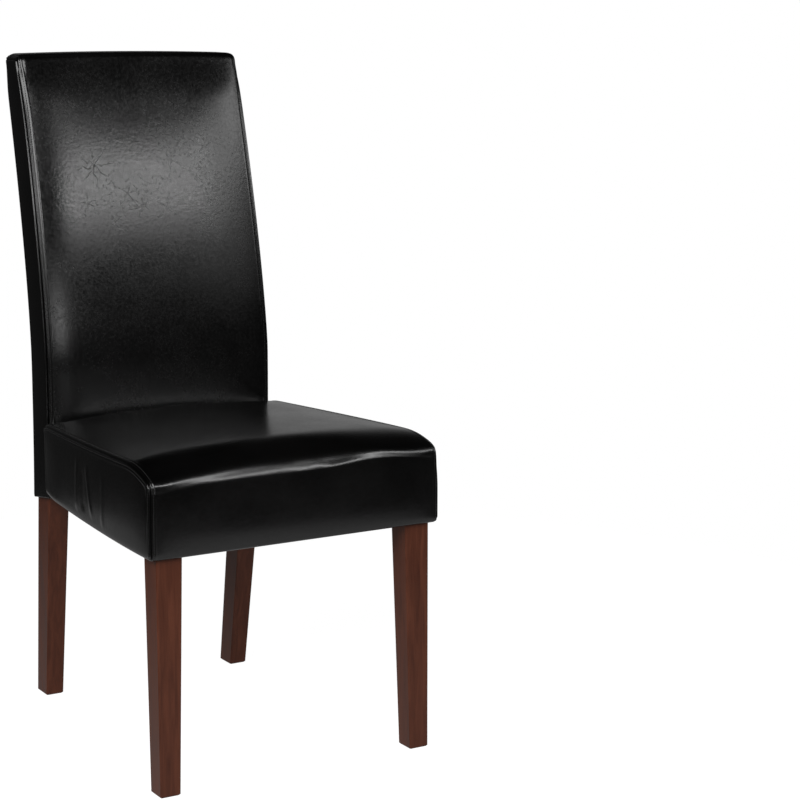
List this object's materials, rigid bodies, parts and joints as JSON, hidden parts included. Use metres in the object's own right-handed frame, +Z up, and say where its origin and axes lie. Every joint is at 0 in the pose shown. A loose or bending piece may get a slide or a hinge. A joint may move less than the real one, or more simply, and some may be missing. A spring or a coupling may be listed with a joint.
{
  "type": "parsons chair",
  "caption": "Armless dining chair: leather-covered box seat and tall raked back on square tapered wooden legs.",
  "frame": {"origin": "on the floor, in the middle of the chair's width and depth", "axes": "+Z up, the chair faces -Y, +X to the right of someone who stands in front and looks at +Y"},
  "size_m": [0.457, 0.6014, 1.005],
  "materials": {
    "leather_cover": "near-black pebbled leather with a satin gloss",
    "leg_wood": "dark reddish brown stain, satin lacquer",
    "frame_wood": "bare planed hardwood",
    "plywood": "bare plywood",
    "hardboard": "bare brown hardboard",
    "foam": "open-cell cushion foam",
    "wadding": "white polyester wadding",
    "dust_cloth": "black non-woven cloth",
    "zinc_steel": "zinc-plated steel"
  },
  "bodies": {
    "root": {"front_leg_right": "leg_wood", "front_leg_left": "leg_wood", "rear_leg_right": "leg_wood", "rear_leg_left": "leg_wood", "front_rail": "frame_wood", "rear_rail": "frame_wood", "side_rail_right": "frame_wood", "side_rail_left": "frame_wood", "front_corner_block_right": "frame_wood", "front_corner_block_left": "frame_wood", "rear_corner_block_right": "frame_wood", "rear_corner_block_left": "frame_wood", "back_lower_rail": "frame_wood", "back_middle_rail": "frame_wood", "back_top_rail": "frame_wood", "leg_bolt_lower_right": "zinc_steel", "leg_bolt_lower_left": "zinc_steel", "leg_bolt_washer_lower_right": "zinc_steel", "leg_bolt_washer_lower_left": "zinc_steel", "leg_bolt_upper_right": "zinc_steel", "leg_bolt_upper_left": "zinc_steel", "leg_bolt_washer_upper_right": "zinc_steel", "leg_bolt_washer_upper_left": "zinc_steel", "front_block_cross_screw_right": "zinc_steel", "front_block_cross_screw_left": "zinc_steel", "front_block_side_screw_right": "zinc_steel", "front_block_side_screw_left": "zinc_steel", "rear_block_cross_screw_right": "zinc_steel", "rear_block_cross_screw_left": "zinc_steel", "rear_block_side_screw_right": "zinc_steel", "rear_block_side_screw_left": "zinc_steel", "board_screw_front_right": "zinc_steel", "board_screw_front_left": "zinc_steel", "board_screw_rear_right": "zinc_steel", "board_screw_rear_left": "zinc_steel", "seat_board": "plywood", "back_support_panel": "plywood", "back_rear_panel": "hardboard", "seat_foam": "foam", "front_edge_pad": "foam", "side_edge_pad_right": "foam", "side_edge_pad_left": "foam", "back_foam": "foam", "back_wadding": "wadding", "seat_cover_top_and_front": "leather_cover", "seat_cover_side_right": "leather_cover", "seat_cover_side_left": "leather_cover", "back_cover_front": "leather_cover", "back_cover_rear": "leather_cover", "back_cover_side_right": "leather_cover", "back_cover_side_left": "leather_cover", "dust_cover": "dust_cloth"}
  },
  "joints": []
}
